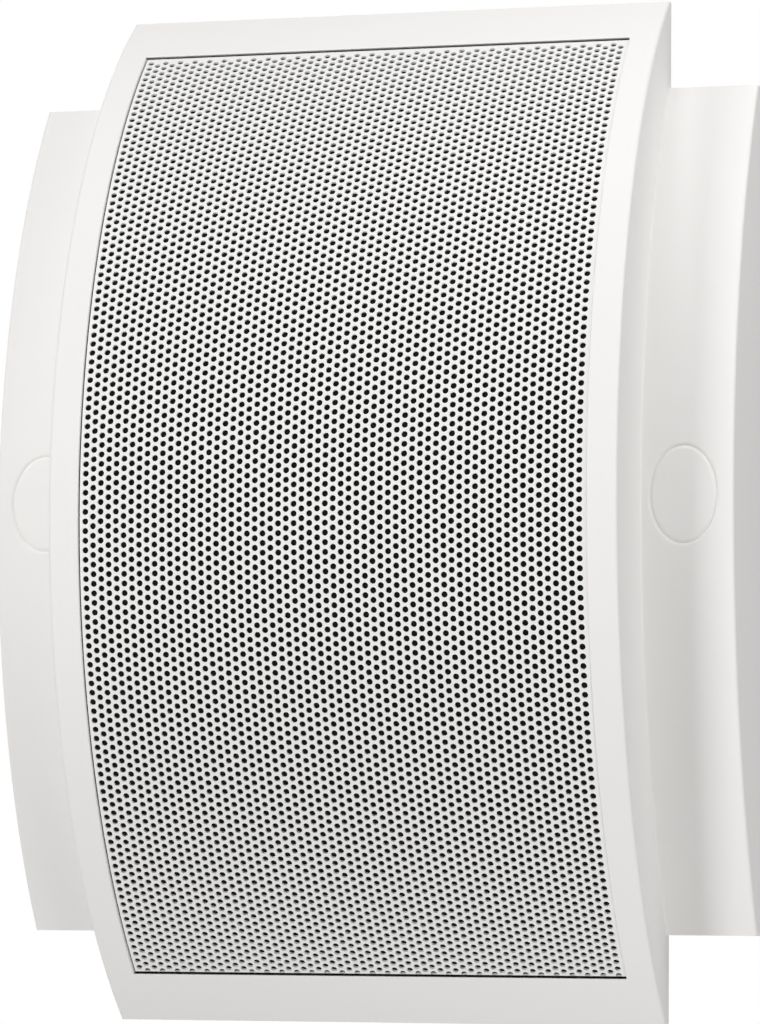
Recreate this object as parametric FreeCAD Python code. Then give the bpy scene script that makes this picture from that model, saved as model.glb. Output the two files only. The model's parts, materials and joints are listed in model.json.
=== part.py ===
import FreeCAD, Part
import math
import os

# Surface loudspeaker for a wall or ceiling. Millimetres: X across, Z up, the wall is the plane
# Y = 0 and the front faces -Y. The origin is the centre of the back.

V = FreeCAD.Vector

# Cabinet: a tall bow crossing over a wider, lower bow that shows as a wing on each side.
BODY_W = 151.0
BODY_H = 275.0
DEPTH = 72.0
BODY_END_T = 2.7  # height of the bow's ends off the wall
WING_OUT = 24.5  # reach of a wing past the bow's side
WING_END_IN = 24.0  # distance of a wing's end from the bow's end
WING_STEP = 30.5  # distance of the wing's crown behind the bow's crown
WING_END_T = 4.0
WALL = 2.5
RIM_GAP = 0.3  # the cabinet's rim stays this far off the wall, so the back panel seats first
EDGE_R = 0.8
CORNER_R = 0.5  # fillet where the bow's side meets the wing

# Grille in the bow's window.
BORDER_SIDE = 8.0
BORDER_END = 12.5
GRILLE_T = 0.8
GRILLE_RECESS = 0.6
GRILLE_GAP_SIDE = 0.1  # shadow gap along the sheet's long edges
GRILLE_GAP_END = 0.9  # shadow gap at its ends
LEDGE_W = 5.0  # width of the ledge that the edges of sheet and cloth lie on
LEDGE_T = 3.2
CLOTH_T = 0.4
CLOTH_IN = 0.4  # the cloth stops this far inside the sheet's edge
HOLE_COLUMNS = 8
HOLE_ROWS = 14
HOLE_SHARE = 0.6  # hole size over hole pitch
HOLE_SIDES = 8
TAB_W = 8.0
TAB_ANGLES = (-33.0, 0.0, 33.0)
TAB_FIT = 0.3
TAB_FOOT = 3.0  # reach of a folded tab behind the ledge

# Oval caps over the cabinet's screws, at the middle of each wing.
CAP_W = 17.4
CAP_H = 25.4
CAP_OFF_CENTRE = 0.95  # the caps sit this much nearer to the bow than the wing's middle
CAP_FIT = 0.1
CAP_SKIN = 1.5
CAP_SKIRT = 1.2
CUP_DEPTH = 6.0
CUP_WALL = 1.6
CABINET_SCREW_LEN = 16.0

# Back panel and what is fixed to it.
PANEL_T = 2.5
PANEL_FIT = 0.4
PANEL_END_CUT = 3.0  # the arches close down on the panel's ends, so these are cut shorter
WALL_HOLE_R = 2.5
WALL_HOLE_X = 100.0
WALL_HOLE_Z = 160.0
TOWER_R = 4.5
GUSSET_FOOT = 22.0  # distance of a gusset's tip from its tower's middle
RIB_T = 2.0
CABLE_R = 5.0
CABLE_BELOW = 30.0  # the cable comes in this far below the terminal block
GROMMET_R = 8.0
GROMMET_LIP = 2.5
BLOCK_END_IN = 49.5  # distance of the terminal block's middle from the bow's upper end
TRANSFORMER_END_IN = 50.5  # distance of the transformer's middle from the bow's lower end
STANDOFF = 3.0

# Driver and the board that carries it.
BAFFLE_T = 4.0
BAFFLE_GRIP = 6.5  # length of the baffle's screws in their bosses
DRIVER_IN = 12.0  # the driver's rim stays this far inside the bow's side
CUTOUT_IN = 5.5  # the baffle's cut-out and the surround stop this far inside the driver's rim
SHEET = 1.2  # basket metal
FLANGE_W = 7.5
EAR_OUT = 5.5
EAR_W = 10.0
GASKET_IN = 0.5
GASKET_W = 4.7
GASKET_T = 2.5
MAGNET_R = 36.0
COIL_R = 12.4
YOKE_T = 4.0
MAGNET_T = 10.5
PLATE_T = 4.0
YOKE_CLEAR = 3.0
STEP_IN_R = 26.0  # the basket's step that carries the spider
STEP_OUT_R = 31.6
CONE_T = 0.8
CONE_IN = 16.5  # the cone's rim lies this far inside the driver's rim
CONE_LIP = 3.5  # width of the cone's flat rim
CAP_RISE = 5.0
ROLL_IN = 8.4  # the surround's roll starts this far inside the driver's rim
ROLL_T = 0.7
FORMER_T = 0.3
FORMER_PAST = 4.0  # length of the former behind the top plate
COIL_HALF = 4.5
COIL_T = 0.6
PLATE_OUT = 3.3  # reach of the top plate past the basket's base
STRIP_W = 17.0
STRIP_T = 1.5
STRIP_LEN = 13.0
STRIP_CLEAR = 0.8  # between the basket's base and the strip
LUG_X = 5.0
LUG_W = 4.0
LUG_T = 0.8
LUG_PAST = 5.0  # length of a lug past the strip's end

# Line transformer: laminated core, bobbin on its middle leg, strap with two feet.
CORE_W = 35.0
CORE_H = 29.0
CORE_STACK = 12.0
LEG_W = 9.6
YOKE_LEG = 4.8
BOBBIN_T = 0.9
FLANGE_OUT = 7.5  # reach of the bobbin's flanges past the core
WINDING_OUT = 6.8
BRACKET_T = 1.0
FOOT_X = 24.0

# Terminal block and the inner wires.
BLOCK_HALF_W = 19.5
BLOCK_HALF_D = 9.5
BLOCK_T = 14.0
BLOCK_FOOT = 4.0
BLOCK_SCREW_X = 15.5
POLE_X = 6.5
CLAMP_R = 2.0
LEAD_R = 1.0
LEAD_BEND = 3.0
LEAD_PAIR = 3.0  # distance between the two supply leads
LEAD_STRAIGHT = 9.5  # straight length of a supply lead at the block and at the winding
LEAD_SLANT = 12.5  # height of its slanting runs
LEAD_SIDE = 7.5  # distance of the supply leads from the magnet
LEAD_IN = 5.5  # distance of the supply leads from the winding's middle
LEAD_OFF = 4.0  # the driver leads leave the winding this far in front of the supply leads

# Screws: head radius, head height, shank radius.
SCREW_4 = (3.6, 2.4, 1.7)
SCREW_3 = (3.0, 2.0, 1.4)
HOLE_PLAY = 0.35


class Arch:
    """Front curve of a bow: a circle about a line along X, with its crown at Y = crown."""

    def __init__(self, crown, radius):
        self.crown = crown
        self.radius = radius
        self.centre = crown + radius

    def inset(self, depth):
        return Arch(self.crown + depth, self.radius - depth)

    def y_at(self, z):
        return self.centre - math.sqrt(self.radius**2 - z**2)

    def angle_at(self, z):
        return math.degrees(math.asin(z / self.radius))


def arch_over(half_h, depth, end_t):
    """Arch of the given depth whose ends stand end_t off the wall at +-half_h."""
    rise = depth - end_t
    return Arch(-depth, (half_h**2 + rise**2) / (2 * rise))


BODY_HALF_W = BODY_W / 2
BODY_HALF_H = BODY_H / 2
WING_HALF_W = BODY_HALF_W + WING_OUT
WING_HALF_H = BODY_HALF_H - WING_END_IN
BODY_ARCH = arch_over(BODY_HALF_H, DEPTH, BODY_END_T)
WING_ARCH = arch_over(WING_HALF_H, DEPTH - WING_STEP, WING_END_T)

WINDOW_HALF_W = BODY_HALF_W - BORDER_SIDE
WINDOW_HALF_H = BODY_HALF_H - BORDER_END
OPEN_HALF_W = WINDOW_HALF_W - LEDGE_W
OPEN_HALF_H = WINDOW_HALF_H - LEDGE_W
SHEET_HALF_W = WINDOW_HALF_W - GRILLE_GAP_SIDE
SHEET_HALF_H = WINDOW_HALF_H - GRILLE_GAP_END
GRILLE_ARCH = BODY_ARCH.inset(GRILLE_RECESS)
CLOTH_ARCH = GRILLE_ARCH.inset(GRILLE_T)
LEDGE_ARCH = CLOTH_ARCH.inset(CLOTH_T)

CAP_X = BODY_HALF_W + WING_OUT / 2 - CAP_OFF_CENTRE
CUP_FLOOR = WING_ARCH.crown + CUP_DEPTH
CUP_REAR = CUP_FLOOR + WALL
PANEL_FRONT = -PANEL_T
BLOCK_Z = BODY_HALF_H - BLOCK_END_IN
CABLE_Z = BLOCK_Z - CABLE_BELOW
TRANSFORMER_Z = TRANSFORMER_END_IN - BODY_HALF_H

DRIVER_R = BODY_HALF_W - DRIVER_IN
BAFFLE_HALF_H = DRIVER_R + 6.5
BAFFLE_HALF_W = BODY_HALF_W - WALL - 0.7
BAFFLE_FRONT = LEDGE_ARCH.inset(LEDGE_T).y_at(BAFFLE_HALF_H) + 1.0
BAFFLE_SCREWS = [(sx * (BODY_HALF_W - 8.5), sz * (DRIVER_R - 3.5)) for sx in (-1, 1) for sz in (-1, 1)]
EAR_R = DRIVER_R + EAR_OUT
EAR_XZ = [(sx * EAR_R * math.sqrt(0.5), sz * EAR_R * math.sqrt(0.5)) for sx in (-1, 1) for sz in (-1, 1)]

YOKE_REAR = PANEL_FRONT - YOKE_CLEAR
MAGNET_REAR = YOKE_REAR - YOKE_T
PLATE_REAR = MAGNET_REAR - MAGNET_T
PLATE_FRONT = PLATE_REAR - PLATE_T
LANDING = PLATE_FRONT - SHEET - 6.3  # front of the basket's step that carries the spider
FLANGE_FRONT = BAFFLE_FRONT - SHEET
NECK = LANDING - 3.0
CONE_RIM_R = DRIVER_R - CONE_IN
CONE_NECK = (COIL_R + 0.05, NECK)
CONE_EDGE = (CONE_RIM_R - CONE_LIP, FLANGE_FRONT + CONE_T)
DOME_R = COIL_R + 2.6
CORE_REAR = PANEL_FRONT - STANDOFF - BRACKET_T
COIL_TOP_Z = TRANSFORMER_Z + CORE_STACK / 2 + WINDING_OUT
BASE_R = STEP_IN_R + SHEET
STRIP_TOP_Z = -BASE_R - STRIP_CLEAR
STRIP_END_Z = STRIP_TOP_Z - STRIP_LEN


def box(x0, x1, y0, y1, z0, z1):
    return Part.makeBox(x1 - x0, y1 - y0, z1 - z0, V(x0, y0, z0))


def rod(radius, x, z, y0, y1):
    return Part.makeCylinder(radius, y1 - y0, V(x, y0, z), V(0, 1, 0))


def profile(start, steps, place):
    """Closed face from a start point; each step is a point, or a (through, end) pair for an arc."""
    edges = []
    here = start
    for step in list(steps) + [start]:
        if isinstance(step[0], tuple):
            through, end = step
            edges.append(Part.Arc(place(here), place(through), place(end)).toShape())
        else:
            end = step
            if place(here).distanceToPoint(place(end)) > 1e-7:
                edges.append(Part.makeLine(place(here), place(end)))
        here = end
    return Part.Face(Part.Wire(edges))


def turned(start, *steps):
    """Solid of revolution about the driver's axis, from a profile of (radius, Y) points."""
    face = profile(start, steps, lambda p: V(p[0], p[1], 0))
    return face.revolve(V(0, 0, 0), V(0, 1, 0), 360)


def ring(r_in, r_out, y0, y1):
    return turned((r_in, y0), (r_out, y0), (r_out, y1), (r_in, y1))


def along_x(start, steps, half_w):
    """Prism along X from a profile of (Y, Z) points."""
    face = profile(start, steps, lambda p: V(-half_w, p[0], p[1]))
    return face.extrude(V(2 * half_w, 0, 0))


def bow_prism(arch, half_w, half_h, rear):
    """Solid under an arch, down to the plane Y = rear."""
    reach = math.sqrt(arch.radius**2 - (arch.centre - rear) ** 2)
    top = min(half_h, reach - 0.01)
    shoulder = arch.y_at(top)
    crown = ((arch.crown, 0), (shoulder, -top))
    return along_x((rear, top), [(shoulder, top), crown, (rear, -top)], half_w)


def bow_sheet(arch, thick, half_w, half_h):
    """Curved sheet under an arch, its ends cut square to Z."""
    back = arch.inset(thick)
    front_arc = ((arch.crown, 0), (arch.y_at(half_h), -half_h))
    back_arc = ((back.crown, 0), (back.y_at(half_h), half_h))
    return along_x((arch.y_at(half_h), half_h), [front_arc, (back.y_at(half_h), -half_h), back_arc], half_w)


def oval_prism(grow, x, y0, y1):
    """Upright oval of the cap's outline, grown all round, from y0 to y1."""
    tip = V(x, y0, CAP_H / 2 + grow)
    side = V(x + CAP_W / 2 + grow, y0, 0)
    curve = Part.Ellipse(tip, side, V(x, y0, 0))
    return Part.Face(Part.Wire(curve.toShape())).extrude(V(0, y1 - y0, 0))


def tilted(shape, arch, angle):
    """Copy of a shape, moved round an arch's centre line from its crown."""
    moved = shape.copy()
    moved.rotate(V(0, arch.centre, 0), V(1, 0, 0), -angle)
    return moved


def screw(size, x, z, seat, length, out):
    """Pan-head screw at (x, z) with its head's underside at Y = seat; out is the head's side, -1 or 1."""
    head_r, head_t, shank_r = size
    head = Part.makeCone(head_r, 0.72 * head_r, head_t, V(x, seat, z), V(0, out, 0))
    shank = Part.makeCylinder(shank_r, length, V(x, seat, z), V(0, -out, 0))
    return head.fuse(shank).removeSplitter()


def lead(points, radius, bend):
    """Wire through the given points, straight between them with a tangent arc at each corner."""
    pieces = []
    here = points[0]
    for before, corner, after in zip(points, points[1:], points[2:]):
        back = (before - corner).normalize()
        on = (after - corner).normalize()
        half = back.getAngle(on) / 2
        start = corner + back * (bend / math.tan(half))
        centre = corner + (back + on).normalize() * (bend / math.sin(half))
        pieces.append(Part.makeCylinder(radius, (start - here).Length, here, start - here))
        disc = Part.Face(Part.Wire(Part.makeCircle(radius, start, back)))
        pieces.append(disc.revolve(centre, on.cross(back), 180 - math.degrees(2 * half)))
        here = corner + on * (bend / math.tan(half))
    pieces.append(Part.makeCylinder(radius, (points[-1] - here).Length, here, points[-1] - here))
    return pieces[0].fuse(pieces[1:]).removeSplitter()


def make_cabinet():
    """One moulding: both bows as a shell open at the back, window, ledge, bosses and screw cups."""
    rim = -RIM_GAP
    bow = bow_prism(BODY_ARCH, BODY_HALF_W, BODY_HALF_H, rim)
    wings = bow_prism(WING_ARCH, WING_HALF_W, WING_HALF_H, rim)
    outside = bow.fuse(wings).removeSplitter()
    edges = [e for e in outside.Edges if e.Curve.TypeId == "Part::GeomCircle"]
    corners = [e for e in edges if is_wing_edge(e) and abs(abs(e.CenterOfMass.x) - BODY_HALF_W) < 0.01]
    outside = outside.makeFillet(CORNER_R, corners)
    edges = [e for e in outside.Edges if e.Curve.TypeId == "Part::GeomCircle"]
    rims = [e for e in edges if on_outer_rim(e)]
    outside = outside.makeFillet(EDGE_R, rims)
    hollow_bow = bow_prism(BODY_ARCH.inset(WALL), BODY_HALF_W - WALL, BODY_HALF_H - WALL, 1.0)
    hollow_wings = bow_prism(WING_ARCH.inset(WALL), WING_HALF_W - WALL, WING_HALF_H - WALL, 1.0)
    window = box(-WINDOW_HALF_W, WINDOW_HALF_W, -2 * DEPTH, -1.0, -WINDOW_HALF_H, WINDOW_HALF_H)
    shell = outside.cut([hollow_bow, hollow_wings, window])
    cups = [oval_prism(CAP_FIT + CUP_WALL, sx * CAP_X, -2 * DEPTH, CUP_REAR) for sx in (-1, 1)]
    under_wing = bow_prism(WING_ARCH.inset(WALL / 2), WING_HALF_W - WALL / 2, WING_HALF_H, 0.0)
    cups = [cup.common(under_wing) for cup in cups]
    shell = shell.fuse([make_ledge()] + make_bosses() + make_wing_ribs() + cups)
    cuts = [oval_prism(CAP_FIT, sx * CAP_X, -2 * DEPTH, CUP_FLOOR) for sx in (-1, 1)]
    cuts += [rod(SCREW_4[2] + HOLE_PLAY, sx * CAP_X, 0, CUP_FLOOR - 1, CUP_REAR + 1) for sx in (-1, 1)]
    pilot = BAFFLE_FRONT - BAFFLE_GRIP - 0.5
    cuts += [rod(SCREW_3[2], x, z, pilot, BAFFLE_FRONT + 1) for x, z in BAFFLE_SCREWS]
    return shell.cut(cuts).removeSplitter()


def is_wing_edge(edge):
    return abs(edge.Curve.Radius - WING_ARCH.radius) < 0.01


def on_outer_rim(edge):
    """True for the long front edges of the bow and of the wings."""
    x = abs(edge.CenterOfMass.x)
    on_bow = abs(edge.Curve.Radius - BODY_ARCH.radius) < 0.01 and abs(x - BODY_HALF_W) < 0.01
    return on_bow or (is_wing_edge(edge) and abs(x - WING_HALF_W) < 0.01)


def make_ledge():
    """Ledge round the window that the grille's edge lies on, slotted for the grille's tabs."""
    lap = 2.5
    block = bow_sheet(LEDGE_ARCH, LEDGE_T, WINDOW_HALF_W + lap, WINDOW_HALF_H + lap)
    opening = box(-OPEN_HALF_W, OPEN_HALF_W, -2 * DEPTH, -1.0, -OPEN_HALF_H, OPEN_HALF_H)
    return block.cut([opening] + tab_slots())


def tab_slots():
    """Blocks that clear the legs of the grille's tabs."""
    slots = []
    reach = TAB_W / 2 + TAB_FIT
    for sx in (-1, 1):
        x0, x1 = sorted((sx * (SHEET_HALF_W + TAB_FIT), sx * (SHEET_HALF_W - GRILLE_T - TAB_FIT)))
        slot = box(x0, x1, -DEPTH - 5, -DEPTH + 12, -reach, reach)
        slots += [tilted(slot, BODY_ARCH, a) for a in TAB_ANGLES]
    return slots


def make_bosses():
    """Four bosses behind the window's frame that the baffle is screwed to."""
    under_skin = bow_prism(LEDGE_ARCH, BODY_HALF_W - WALL / 2, BODY_HALF_H, 0.0)
    return [rod(4.0, x, z, -DEPTH, BAFFLE_FRONT).common(under_skin) for x, z in BAFFLE_SCREWS]


def make_wing_ribs():
    """Two ribs inside each wing, from its outer wall to the bow's side."""
    deep = 12.0
    outer = bow_prism(WING_ARCH.inset(WALL / 2), WING_HALF_W - WALL / 2, WING_HALF_H, 0.0)
    band = outer.cut(bow_prism(WING_ARCH.inset(WALL + deep), WING_HALF_W, WING_HALF_H, 1.0))
    ribs = []
    for sx in (-1, 1):
        x0, x1 = sorted((sx * (BODY_HALF_W - WALL), sx * WING_HALF_W))
        for z in (-WING_HALF_H / 2, WING_HALF_H / 2):
            ribs.append(box(x0, x1, -DEPTH, 0.0, z - RIB_T / 2, z + RIB_T / 2).common(band))
    return ribs


def make_grille():
    """Rolled perforated sheet; holes in staggered columns, tabs folded over behind the ledge."""
    sheet = bow_sheet(GRILLE_ARCH, GRILLE_T, SHEET_HALF_W, SHEET_HALF_H)
    arc_half = math.radians(GRILLE_ARCH.angle_at(OPEN_HALF_H)) * GRILLE_ARCH.radius
    pitch = 2 * arc_half / (HOLE_ROWS - 1 + HOLE_SHARE + 0.2)
    column = min(pitch * math.sqrt(0.75), 2 * OPEN_HALF_W / (HOLE_COLUMNS - 0.2))
    hole_r = HOLE_SHARE * pitch / 2
    turn = math.degrees(pitch / GRILLE_ARCH.radius)
    corners = [2 * math.pi * (i + 0.5) / HOLE_SIDES for i in range(HOLE_SIDES)]
    front = GRILLE_ARCH.crown - 2
    outline = [V(hole_r * math.cos(c), front, hole_r * math.sin(c)) for c in corners]
    punch = Part.Face(Part.makePolygon(outline + outline[:1])).extrude(V(0, GRILLE_T + 4, 0))
    punches = []
    for i in range(HOLE_COLUMNS):
        rows = HOLE_ROWS - i % 2
        for j in range(rows):
            hole = punch.copy()
            hole.translate(V((i - (HOLE_COLUMNS - 1) / 2) * column, 0, 0))
            punches.append(tilted(hole, GRILLE_ARCH, (j - (rows - 1) / 2) * turn))
    sheet = sheet.cut(punches)
    tabs = []
    fold = LEDGE_ARCH.crown + LEDGE_T + 0.1
    bend = SHEET_HALF_W - GRILLE_T
    for sx in (-1, 1):
        x0, x1 = sorted((sx * SHEET_HALF_W, sx * bend))
        leg = box(x0, x1, GRILLE_ARCH.crown + GRILLE_T / 2, fold + GRILLE_T, -TAB_W / 2, TAB_W / 2)
        f0, f1 = sorted((sx * bend, sx * (SHEET_HALF_W + TAB_FOOT)))
        foot = box(f0, f1, fold, fold + GRILLE_T, -TAB_W / 2, TAB_W / 2)
        tabs += [tilted(leg.fuse(foot), BODY_ARCH, a) for a in TAB_ANGLES]
    return sheet.fuse(tabs).removeSplitter()


def make_cloth():
    """Cloth between the sheet and the ledge, notched round the grille's tabs."""
    cloth = bow_sheet(CLOTH_ARCH, CLOTH_T, SHEET_HALF_W - CLOTH_IN, SHEET_HALF_H - CLOTH_IN)
    return cloth.cut(tab_slots())


def make_cap(side):
    """Oval cap, flush with the wing's curve, with a skirt that stands on the cup's floor."""
    x = side * CAP_X
    under = bow_prism(WING_ARCH, WING_HALF_W, WING_HALF_H, 0.0)
    plug = oval_prism(0.0, x, -2 * DEPTH, CUP_FLOOR).common(under)
    inside = bow_prism(WING_ARCH.inset(CAP_SKIN), WING_HALF_W, WING_HALF_H, 0.0)
    hollow = oval_prism(-CAP_SKIRT, x, -2 * DEPTH, 0.0).common(inside)
    return plug.cut(hollow)


def make_back_panel():
    """Moulded back: cross-shaped plate with screw towers, standoffs, ribs, wall holes and cable hole."""
    tall_w = BODY_HALF_W - WALL - PANEL_FIT
    tall_h = BODY_HALF_H - WALL - PANEL_FIT - PANEL_END_CUT
    wide_w = WING_HALF_W - WALL - PANEL_FIT
    wide_h = WING_HALF_H - WALL - PANEL_FIT - PANEL_END_CUT
    plate = box(-tall_w, tall_w, PANEL_FRONT, 0, -tall_h, tall_h)
    plate = plate.fuse(box(-wide_w, wide_w, PANEL_FRONT, 0, -wide_h, wide_h)).removeSplitter()
    uprights = [e for e in plate.Edges if abs(e.CenterOfMass.y - PANEL_FRONT / 2) < 1e-6]
    plate = plate.makeFillet(1.0, uprights)
    raised = []
    for sx in (-1, 1):
        raised.append(rod(TOWER_R, sx * CAP_X, 0, CUP_REAR, PANEL_FRONT + 0.5))
        foot = (CUP_REAR - PANEL_FRONT) * 0.7
        for sz in (-1, 1):
            raised.append(gusset(sx * CAP_X, sz * 0.9 * TOWER_R, sz * GUSSET_FOOT, foot))
        x = sx * (WALL_HOLE_X / 2 + 12.0)
        rib_h = wide_h - 8.0
        raised.append(box(x - RIB_T / 2, x + RIB_T / 2, PANEL_FRONT - 5.0, PANEL_FRONT + 0.5, -rib_h, rib_h))
        raised.append(rod(3.8, sx * FOOT_X, TRANSFORMER_Z, PANEL_FRONT - STANDOFF, PANEL_FRONT + 0.5))
    plate = plate.fuse(raised).removeSplitter()
    holes = [rod(GROMMET_R, 0, CABLE_Z, -9, 1)]
    for sx in (-1, 1):
        holes += [rod(WALL_HOLE_R, sx * WALL_HOLE_X / 2, sz * WALL_HOLE_Z / 2, -9, 1) for sz in (-1, 1)]
        holes.append(rod(SCREW_4[2], sx * CAP_X, 0, CUP_REAR - 1, CUP_REAR + CABINET_SCREW_LEN))
        holes.append(rod(SCREW_3[2], sx * FOOT_X, TRANSFORMER_Z, PANEL_FRONT - STANDOFF - 1, -0.5))
        holes.append(rod(SCREW_3[2], sx * BLOCK_SCREW_X, BLOCK_Z, PANEL_FRONT - 1, -0.3))
    return plate.cut(holes).removeSplitter()


def gusset(x, near_z, far_z, height):
    """Triangular web from a tower's side down to the panel."""
    foot_y = PANEL_FRONT + 0.5
    points = [V(x - RIB_T / 2, foot_y, near_z), V(x - RIB_T / 2, foot_y, far_z)]
    points.append(V(x - RIB_T / 2, foot_y + height, near_z))
    return Part.Face(Part.makePolygon(points + points[:1])).extrude(V(RIB_T, 0, 0))


def make_grommet():
    lip_front = PANEL_FRONT - 2.0
    outline = [(GROMMET_R + GROMMET_LIP, lip_front + 0.6), (GROMMET_R + GROMMET_LIP, PANEL_FRONT)]
    outline += [(GROMMET_R, PANEL_FRONT), (GROMMET_R, -0.2), (CABLE_R, -0.2)]
    bush = turned((CABLE_R, lip_front), (GROMMET_R + GROMMET_LIP - 0.6, lip_front), *outline)
    bush.translate(V(0, 0, CABLE_Z))
    return bush


def make_baffle():
    """Board with the driver's cut-out, its screw holes, and relieved corners."""
    rear = BAFFLE_FRONT + BAFFLE_T
    board = box(-BAFFLE_HALF_W, BAFFLE_HALF_W, BAFFLE_FRONT, rear, -BAFFLE_HALF_H, BAFFLE_HALF_H)
    uprights = [e for e in board.Edges if abs(e.CenterOfMass.y - (BAFFLE_FRONT + rear) / 2) < 1e-6]
    board = board.makeChamfer(4.0, uprights)
    holes = [rod(DRIVER_R - CUTOUT_IN, 0, 0, BAFFLE_FRONT - 1, rear + 1)]
    holes += [rod(SCREW_3[2] + HOLE_PLAY, x, z, BAFFLE_FRONT - 1, rear + 1) for x, z in BAFFLE_SCREWS]
    holes += [rod(SCREW_4[2], x, z, BAFFLE_FRONT - 1, rear + 1) for x, z in EAR_XZ]
    return board.cut(holes)


def make_basket():
    """Pressed steel frame: flange with four ears, cone wall with four windows, step and base."""
    wall_r = DRIVER_R - FLANGE_W
    step_r = STEP_OUT_R
    base_r = BASE_R
    flange_rear = BAFFLE_FRONT
    slope = math.atan2(LANDING + SHEET - flange_rear, wall_r - step_r)
    shift = SHEET / math.sin(slope) - SHEET / math.tan(slope)
    frame = turned(
        (DRIVER_R, FLANGE_FRONT),
        (DRIVER_R, flange_rear),
        (wall_r, flange_rear),
        (step_r, LANDING + SHEET),
        (base_r, LANDING + SHEET),
        (base_r, PLATE_FRONT),
        (COIL_R + 2.2, PLATE_FRONT),
        (COIL_R + 2.2, PLATE_FRONT - SHEET),
        (base_r - SHEET, PLATE_FRONT - SHEET),
        (base_r - SHEET, LANDING),
        (step_r - shift, LANDING),
        (wall_r - shift, FLANGE_FRONT),
    )
    ears = [rod(EAR_W / 2, x, z, FLANGE_FRONT, flange_rear) for x, z in EAR_XZ]
    ears += [make_ear_web(x, z, FLANGE_FRONT) for x, z in EAR_XZ]
    frame = frame.fuse(ears).removeSplitter()
    low = LANDING + SHEET + 1
    near, far = step_r + 2.9, wall_r - 4.5
    face = profile((near, low), [(far, low), (far, flange_rear), (near, flange_rear)], flat_at)
    face.rotate(V(0, 0, 0), V(0, 1, 0), -28)
    sector = face.revolve(V(0, 0, 0), V(0, 1, 0), 56)
    cuts = [rod(SCREW_4[2] + HOLE_PLAY, x, z, FLANGE_FRONT - 1, flange_rear + 1) for x, z in EAR_XZ]
    for quarter in range(4):
        window = sector.copy()
        window.rotate(V(0, 0, 0), V(0, 1, 0), 90 * quarter)
        cuts.append(window)
    return frame.cut(cuts).removeSplitter()


def flat_at(point):
    return V(point[0], point[1], 0)


def make_ear_web(x, z, front):
    """Bar that joins an ear to the round flange."""
    length = EAR_OUT + 6.0
    bar = Part.makeBox(length, SHEET, EAR_W, V(EAR_R - length, front, -EAR_W / 2))
    bar.rotate(V(0, 0, 0), V(0, 1, 0), -math.degrees(math.atan2(z, x)))
    return bar


def make_surround():
    """Half-roll edge between the flange and the cone's rim."""
    t = ROLL_T
    roll_out = DRIVER_R - ROLL_IN
    roll_in = CONE_RIM_R
    mid = (roll_out + roll_in) / 2
    rise = (roll_out - roll_in) / 2
    face = FLANGE_FRONT
    steps = [math.pi * i / 5 for i in range(6)]
    under = [(mid - (rise - t) * math.cos(a), face - (rise - t) * math.sin(a)) for a in steps]
    over = [(mid + rise * math.cos(a), face - t - (rise - t) * math.sin(a)) for a in steps]
    outer = [(DRIVER_R - CUTOUT_IN, face), (DRIVER_R - CUTOUT_IN, face - t)]
    rim_in = CONE_RIM_R - CONE_LIP + 0.5
    return turned((rim_in, face), *(under + outer + over + [(rim_in, face - t)]))


def make_gasket():
    r_out = DRIVER_R - GASKET_IN
    return ring(r_out - GASKET_W, r_out, FLANGE_FRONT - GASKET_T, FLANGE_FRONT)


def cone_front(radius):
    """Y of the cone's front face at a radius."""
    share = (radius - CONE_NECK[0]) / (CONE_EDGE[0] - CONE_NECK[0])
    return CONE_NECK[1] + share * (CONE_EDGE[1] - CONE_NECK[1]) - CONE_T


def make_cone():
    """Paper cone from the former to a flat rim under the surround."""
    return turned(
        CONE_NECK,
        CONE_EDGE,
        (CONE_RIM_R, CONE_EDGE[1]),
        (CONE_RIM_R, FLANGE_FRONT),
        (CONE_EDGE[0], FLANGE_FRONT),
        (CONE_NECK[0], NECK - CONE_T),
    )


def make_dust_cap():
    """Dome glued to the cone just outside the coil."""
    t = 0.5
    foot = cone_front(DOME_R)
    shape = [(1.0, 0.0), (0.75, 0.55), (0.4, 0.9), (0.0, 1.0)]
    over = [(DOME_R * r, foot - t - (CAP_RISE - t) * h) for r, h in shape]
    under = [((DOME_R - t) * r, foot - 0.02 - (CAP_RISE - t) * h) for r, h in reversed(shape)]
    return turned((DOME_R, foot - 0.02), *(over + under))


def make_spider():
    """Corrugated disc from the former to the basket's step."""
    t = 0.5
    outer = STEP_OUT_R - 0.6
    inner = COIL_R + 0.05
    waves = 4
    first, last = inner + 2.0, STEP_IN_R - 0.6
    front = [(inner, LANDING - t), (first, LANDING - t)]
    for i in range(waves):
        r = first + (last - first) * (i + 0.5) / waves
        front.append((r, LANDING - t + (1.1 if i % 2 else -1.1)))
    front += [(last, LANDING - t), (outer, LANDING - t)]
    back = [(r, y + t) for r, y in reversed(front)]
    return turned(front[0], *(front[1:] + back))


def make_former():
    return ring(COIL_R - FORMER_T, COIL_R, NECK - CONE_T, PLATE_REAR + FORMER_PAST)


def make_voice_coil():
    middle = (PLATE_FRONT + PLATE_REAR) / 2
    return ring(COIL_R, COIL_R + COIL_T, middle - COIL_HALF, middle + COIL_HALF)


def make_top_plate():
    return ring(COIL_R + COIL_T + 0.5, BASE_R + PLATE_OUT, PLATE_FRONT, PLATE_REAR)


def make_magnet():
    t = 0.8
    return turned(
        (COIL_R + 4.6, PLATE_REAR),
        (MAGNET_R - t, PLATE_REAR),
        (MAGNET_R, PLATE_REAR + t),
        (MAGNET_R, MAGNET_REAR - t),
        (MAGNET_R - t, MAGNET_REAR),
        (COIL_R + 4.6, MAGNET_REAR),
    )


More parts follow.
